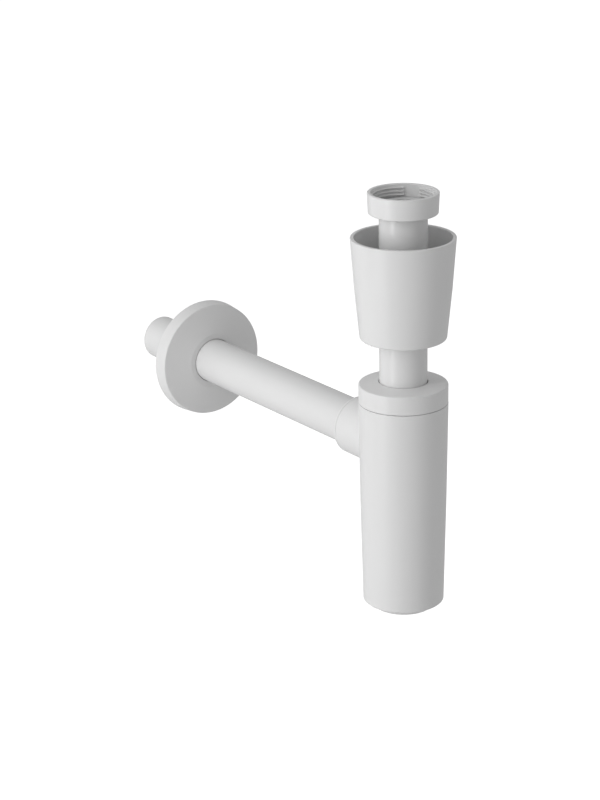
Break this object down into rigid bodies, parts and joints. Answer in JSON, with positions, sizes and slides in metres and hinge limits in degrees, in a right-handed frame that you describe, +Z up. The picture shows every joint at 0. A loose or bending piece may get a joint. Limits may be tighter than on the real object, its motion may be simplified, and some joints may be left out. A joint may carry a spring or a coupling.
{
  "type": "dip tube trap",
  "caption": "Washbasin dip tube trap in white plastic, with a threaded inlet nut, a sliding cover hood, a screwed trap cup and a wall outlet pipe with rosette.",
  "frame": {"origin": "on the axis of the inlet, at the first turn of the inlet nut's thread, 2.2 mm below its rim", "axes": "+Z up along the dip tube, out of the inlet; +Y along the outlet pipe, to the wall; +X to the right of someone who faces the wall"},
  "size_m": [0.0852, 0.3349, 0.2898],
  "materials": {
    "white_moulding": "satin moulded white",
    "white_pipe": "smooth satin white",
    "natural_plastic": "uncoloured moulded plastic",
    "light_rubber": "matt pale grey",
    "black_rubber": "matt black"
  },
  "bodies": {
    "dip_tube": {"dip_tube": "white_pipe", "inlet_gasket": "light_rubber"},
    "inlet_nut": {"inlet_union_nut": "white_moulding"},
    "hood": {"cover_hood": "white_moulding", "hood_grip_ring": "black_rubber"},
    "tube_seal": {"dip_tube_seal": "black_rubber"},
    "trap": {"trap_body": "white_moulding", "seal_carrier": "natural_plastic", "neck_gasket": "black_rubber", "outlet_seal": "black_rubber", "outlet_seal_cap": "white_moulding"},
    "slip_ring": {"slip_ring": "natural_plastic"},
    "cap_nut": {"cap_nut": "white_moulding"},
    "plug_seal": {"base_plug_seal": "black_rubber"},
    "base_plug": {"base_plug": "white_moulding"},
    "outlet_pipe": {"outlet_pipe": "white_pipe"},
    "rosette": {"wall_rosette": "white_moulding", "rosette_grip_ring": "black_rubber"}
  },
  "joints": [
    {"name": "inlet_nut_turn", "type": "hinge", "parent": "dip_tube", "child": "inlet_nut", "pos_m": [0, 0, 0], "axis": [0, 0, 1], "continuous": true},
    {"name": "hood_slide", "type": "slide", "parent": "dip_tube", "child": "hood", "axis": [0, 0, 1], "range_m": [-0.0296, 0.0742]},
    {"name": "height_slide", "type": "slide", "parent": "dip_tube", "child": "tube_seal", "axis": [0, 0, 1], "range_m": [-0.0235, 0.01]},
    {"name": "trap_turn", "type": "hinge", "parent": "tube_seal", "child": "trap", "pos_m": [0, 0, -0.1348], "axis": [0, 0, 1], "continuous": true},
    {"name": "cap_rise", "type": "slide", "parent": "trap", "child": "slip_ring", "axis": [0, 0, 1], "range_m": [0, 0.00701]},
    {"name": "cap_turn", "type": "hinge", "parent": "slip_ring", "child": "cap_nut", "pos_m": [0, 0, -0.1348], "axis": [0, 0, 1], "range_deg": [0, 840]},
    {"name": "plug_drop", "type": "slide", "parent": "trap", "child": "plug_seal", "axis": [0, 0, -1], "range_m": [0, 0.00801]},
    {"name": "plug_turn", "type": "hinge", "parent": "plug_seal", "child": "base_plug", "pos_m": [0, 0, -0.2833], "axis": [0, 0, -1], "range_deg": [0, 1152]},
    {"name": "outlet_slide", "type": "slide", "parent": "trap", "child": "outlet_pipe", "axis": [0, 1, 0], "range_m": [-0.0024, 0.006]},
    {"name": "rosette_slide", "type": "slide", "parent": "outlet_pipe", "child": "rosette", "axis": [0, 1, 0], "range_m": [-0.1738, 0.045]}
  ],
  "couplings": [
    {"joint": "cap_rise", "follows": "cap_turn", "m_per_rad": 0.00047746},
    {"joint": "plug_drop", "follows": "plug_turn", "m_per_rad": 0.00039789}
  ]
}
